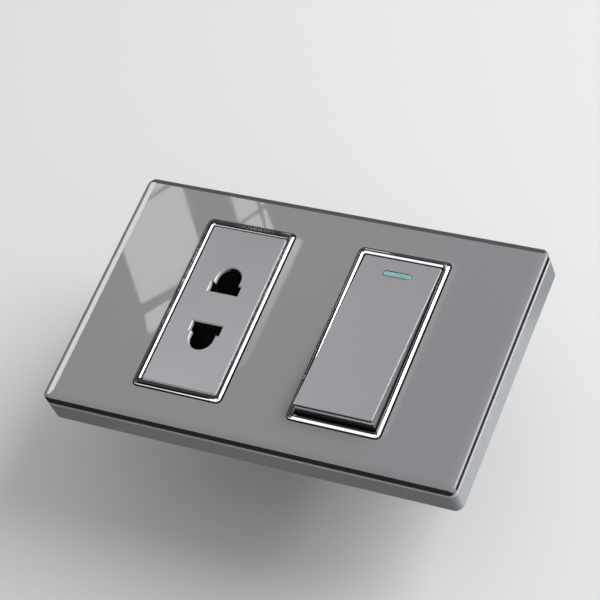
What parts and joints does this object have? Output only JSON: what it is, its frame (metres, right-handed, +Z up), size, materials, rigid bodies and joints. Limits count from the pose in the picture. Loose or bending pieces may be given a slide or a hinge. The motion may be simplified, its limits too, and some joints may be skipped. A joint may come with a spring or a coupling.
{
  "type": "light switch with outlet",
  "caption": "Wide glass wall plate with one vertical two-pin outlet and one large rocker switch with a small indicator.",
  "frame": {"origin": "middle of the wall plane, which the rear rim of the cover frame lies in", "axes": "+X right, +Z up, front faces -Y, +Y into the wall"},
  "size_m": [0.118, 0.0321, 0.072],
  "materials": {
    "glass_panel": "dark grey back-painted toughened glass, polished",
    "bonding_black": "matt black foam bonding",
    "cover_silver": "silver-painted plastic, satin",
    "frame_charcoal": "moulded, fine spark texture",
    "strap_steel": "zinc-plated sheet",
    "trim_bright": "bright chrome plating on plastic",
    "housing_dark": "moulded charcoal, fine spark texture",
    "face_grey": "metallic grey paint, satin",
    "shutter_black": "moulded, smooth",
    "spring_steel": "drawn wire",
    "contact_bronze": "bright bent strip",
    "terminal_brass": "machined",
    "screw_steel": "zinc-plated",
    "lens_teal": "translucent afterglow plastic",
    "carrier_white": "moulded, smooth",
    "plunger_white": "turned and polished tip",
    "tip_silver": "silver alloy"
  },
  "bodies": {
    "plate": {"glass_panel": "glass_panel", "bonding_sheet": "bonding_black", "cover_frame": "cover_silver", "mounting_frame": "frame_charcoal", "steel_strap": "strap_steel", "outlet_trim": "trim_bright", "switch_trim": "trim_bright", "outlet_housing": "housing_dark", "outlet_face": "face_grey", "shutter_spring": "spring_steel", "outlet_contact_upper": "contact_bronze", "outlet_contact_lower": "contact_bronze", "outlet_terminal_upper": "terminal_brass", "outlet_terminal_lower": "terminal_brass", "outlet_terminal_screws": "screw_steel", "outlet_screws": "screw_steel", "switch_housing": "housing_dark", "fixed_tip": "tip_silver", "fixed_contact": "contact_bronze", "common_contact": "contact_bronze", "switch_terminal_fixed": "terminal_brass", "switch_terminal_common": "terminal_brass", "switch_terminal_screws": "screw_steel"},
    "rocker": {"rocker_button": "face_grey", "indicator_lens": "lens_teal", "rocker_carrier": "carrier_white", "plunger_spring": "spring_steel"},
    "plunger": {"plunger": "plunger_white"},
    "seesaw": {"moving_contact": "contact_bronze", "moving_tip": "tip_silver"},
    "shutter": {"outlet_shutter": "shutter_black"}
  },
  "joints": [
    {"name": "rocker_tilt", "type": "hinge", "parent": "plate", "child": "rocker", "pos_m": [0.0225, -0.0068, 0], "axis": [1, 0, 0], "range_deg": [0, 8]},
    {"name": "seesaw_tilt", "type": "hinge", "parent": "plate", "child": "seesaw", "pos_m": [0.0225, 0.007, 0], "axis": [1, 0, 0], "range_deg": [-12, 0]},
    {"name": "plunger_slide", "type": "slide", "parent": "rocker", "child": "plunger", "axis": [0, -0.9976, 0.0698], "range_m": [0, 0.001], "stiffness_N_per_m": 200, "deforming": ["plunger_spring"]},
    {"name": "shutter_slide", "type": "slide", "parent": "plate", "child": "shutter", "axis": [0, 0, 1], "range_m": [0, 0.0082], "stiffness_N_per_m": 60, "deforming": ["shutter_spring"]}
  ],
  "couplings": [
    {"joint": "seesaw_tilt", "follows": "rocker_tilt", "ratio": -1.5}
  ]
}
